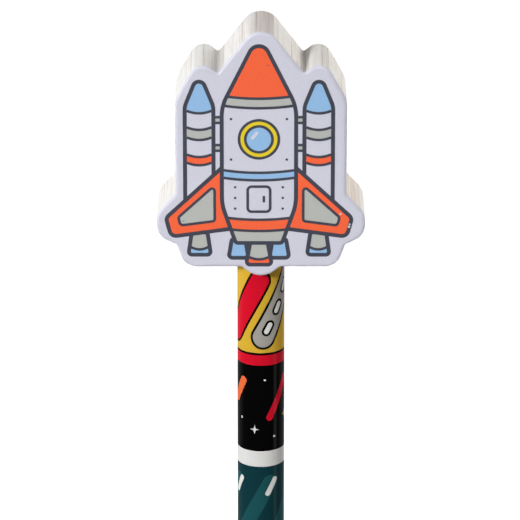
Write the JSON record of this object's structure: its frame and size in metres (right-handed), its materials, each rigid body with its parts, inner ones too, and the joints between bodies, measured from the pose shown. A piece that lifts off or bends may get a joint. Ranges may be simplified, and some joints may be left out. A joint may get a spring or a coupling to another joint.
{
  "type": "pencil with eraser topper",
  "caption": "Round film-wrapped wooden pencil, sharpened, with a thick slab eraser in a spaceplane outline that pushes over its top end and pulls off.",
  "frame": {"origin": "the writing point of the lead, on the pencil's axis", "axes": "+Z along the pencil from the point to the topper; the printed face of the topper looks along -Y; +X to the right seen from the front"},
  "size_m": [0.0316, 0.0121, 0.1942],
  "materials": {
    "graphite": "fired graphite and clay, grey sheen",
    "casing_wood": "bare sharpened softwood",
    "wrap_film": "glossy printed film under clear coat",
    "eraser_vinyl": "white vinyl eraser, drawn streaks on the cut sides",
    "face_print": "smooth printed transfer film, satin"
  },
  "bodies": {
    "pencil": {"graphite_lead": "graphite", "casing_slat_front": "casing_wood", "casing_slat_back": "casing_wood", "print_wrap": "wrap_film"},
    "topper": {"eraser_body": "eraser_vinyl", "face_film": "face_print"}
  },
  "joints": [
    {"name": "topper_pull", "type": "slide", "parent": "pencil", "child": "topper", "axis": [0, 0, 1], "range_m": [0, 0.022]}
  ]
}
